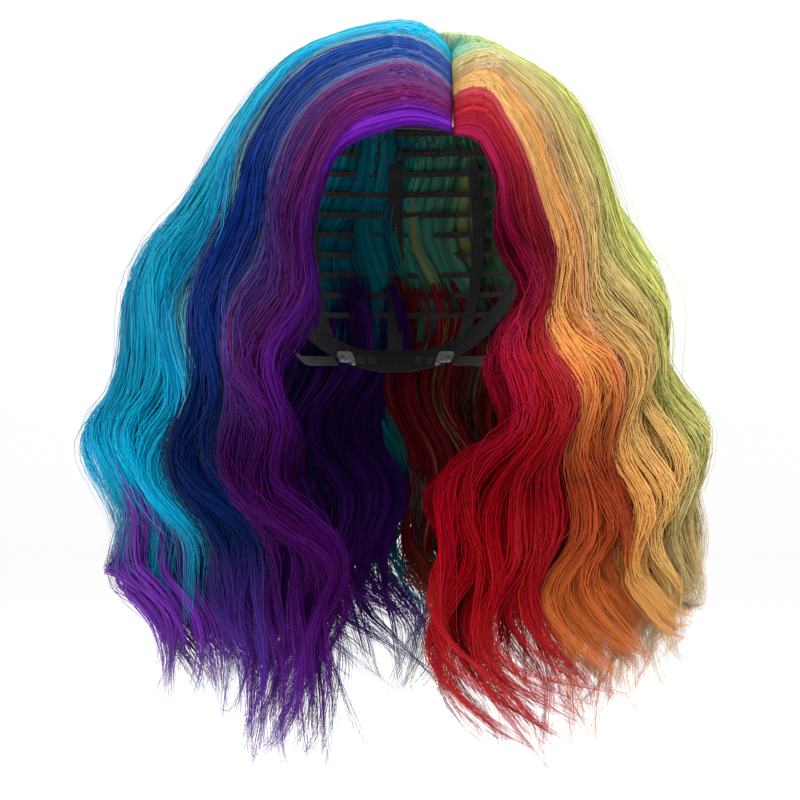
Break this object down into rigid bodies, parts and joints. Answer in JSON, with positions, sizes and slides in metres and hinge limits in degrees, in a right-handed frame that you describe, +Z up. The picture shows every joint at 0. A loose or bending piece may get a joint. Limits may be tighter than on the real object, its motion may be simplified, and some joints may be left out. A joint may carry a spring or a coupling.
{
  "type": "costume wig",
  "caption": "Shoulder-length wavy costume wig on an open machine-sewn cap, with bands of rainbow hair falling from an off-centre parting, adjusters at the nape.",
  "frame": {"origin": "centre of the head's widest ring, where the cap seats on the wearer", "axes": "+Z up through the crown, the wearer faces -Y, +X towards the wearer's left"},
  "size_m": [0.332, 0.2226, 0.3865],
  "materials": {
    "hair_violet": "satin",
    "hair_purple": "satin",
    "hair_blue": "satin",
    "hair_cyan": "satin",
    "hair_green": "satin",
    "hair_red": "satin",
    "hair_orange": "satin",
    "hair_gold": "satin",
    "hair_lime": "satin",
    "net": "matte",
    "band_fabric": "matte",
    "elastic_tape": "matte",
    "weft_thread": "matte",
    "loop_thread": "matte",
    "skin_strip": "satin",
    "clear_plastic": "gloss",
    "stay_plastic": "satin"
  },
  "bodies": {
    "cap": {"adjuster_strap_left": "elastic_tape", "adjuster_strap_right": "elastic_tape", "cap_rib_1": "elastic_tape", "cap_rib_2": "elastic_tape", "cap_rib_3": "elastic_tape", "cap_rib_4": "elastic_tape", "cap_rib_5": "elastic_tape", "cap_rib_6": "elastic_tape", "cap_rib_7": "elastic_tape", "crown_net": "net", "front_band": "band_fabric", "hair_back_left_crown": "hair_green", "hair_back_right_crown": "hair_cyan", "hair_blue_crown": "hair_blue", "hair_cyan_crown": "hair_cyan", "hair_fringe": "hair_violet", "hair_gold_crown": "hair_gold", "hair_lime_crown": "hair_lime", "hair_orange_crown": "hair_orange", "hair_purple_crown": "hair_purple", "hair_red_crown": "hair_red", "hair_under_left": "hair_red", "hair_under_right": "hair_violet", "hook_loops": "loop_thread", "nape_band": "band_fabric", "parting_strip": "skin_strip", "weft_track_01": "weft_thread", "weft_track_02": "weft_thread", "weft_track_03": "weft_thread", "weft_track_04": "weft_thread", "weft_track_05": "weft_thread", "weft_track_06": "weft_thread", "weft_track_07": "weft_thread", "weft_track_08": "weft_thread", "weft_track_09": "weft_thread", "weft_track_10": "weft_thread", "weft_track_11": "weft_thread", "weft_track_12": "weft_thread"},
    "front_lock_right": {"hair_purple_length": "hair_purple"},
    "side_lock_right": {"hair_blue_length": "hair_blue", "hair_cyan_length": "hair_cyan"},
    "front_lock_left": {"hair_red_length": "hair_red"},
    "side_lock_left": {"hair_orange_length": "hair_orange", "hair_gold_length": "hair_gold", "hair_lime_length": "hair_lime"},
    "back_lock": {"hair_back_right_length": "hair_cyan", "hair_back_left_length": "hair_green"},
    "ear_tab_left": {"ear_tab_left": "band_fabric", "ear_tab_stay_left": "stay_plastic"},
    "ear_tab_right": {"ear_tab_right": "band_fabric", "ear_tab_stay_right": "stay_plastic"},
    "hook_left": {"adjuster_hook_left": "clear_plastic"},
    "hook_right": {"adjuster_hook_right": "clear_plastic"}
  },
  "joints": [
    {"name": "front_lock_right_swing", "type": "hinge", "parent": "cap", "child": "front_lock_right", "pos_m": [-0.06, -0.05, -0.002], "axis": [-1, 0, 0], "range_deg": [0, 15]},
    {"name": "front_lock_left_swing", "type": "hinge", "parent": "cap", "child": "front_lock_left", "pos_m": [0.06, -0.05, -0.002], "axis": [-1, 0, 0], "range_deg": [0, 15]},
    {"name": "side_lock_right_swing", "type": "hinge", "parent": "cap", "child": "side_lock_right", "pos_m": [-0.096, 0, -0.002], "axis": [0, 1, 0], "range_deg": [0, 12]},
    {"name": "side_lock_left_swing", "type": "hinge", "parent": "cap", "child": "side_lock_left", "pos_m": [0.096, 0, -0.002], "axis": [0, -1, 0], "range_deg": [0, 12]},
    {"name": "back_lock_swing", "type": "hinge", "parent": "cap", "child": "back_lock", "pos_m": [0, 0.088, -0.002], "axis": [1, 0, 0], "range_deg": [0, 15]},
    {"name": "ear_tab_left_flex", "type": "hinge", "parent": "cap", "child": "ear_tab_left", "pos_m": [0.0716, -0.034, 0.0077], "axis": [-0.2909, -0.9567, 0], "range_deg": [-12, 4]},
    {"name": "adjuster_left_slide", "type": "slide", "parent": "cap", "child": "hook_left", "axis": [-0.8764, 0.4816, 0], "range_m": [0, 0.01597], "deforming": ["adjuster_strap_left"]},
    {"name": "ear_tab_right_flex", "type": "hinge", "parent": "cap", "child": "ear_tab_right", "pos_m": [-0.0716, -0.034, 0.0077], "axis": [-0.2909, 0.9567, 0], "range_deg": [-12, 4]},
    {"name": "adjuster_right_slide", "type": "slide", "parent": "cap", "child": "hook_right", "axis": [0.8764, 0.4816, 0], "range_m": [0, 0.01597], "deforming": ["adjuster_strap_right"]}
  ]
}
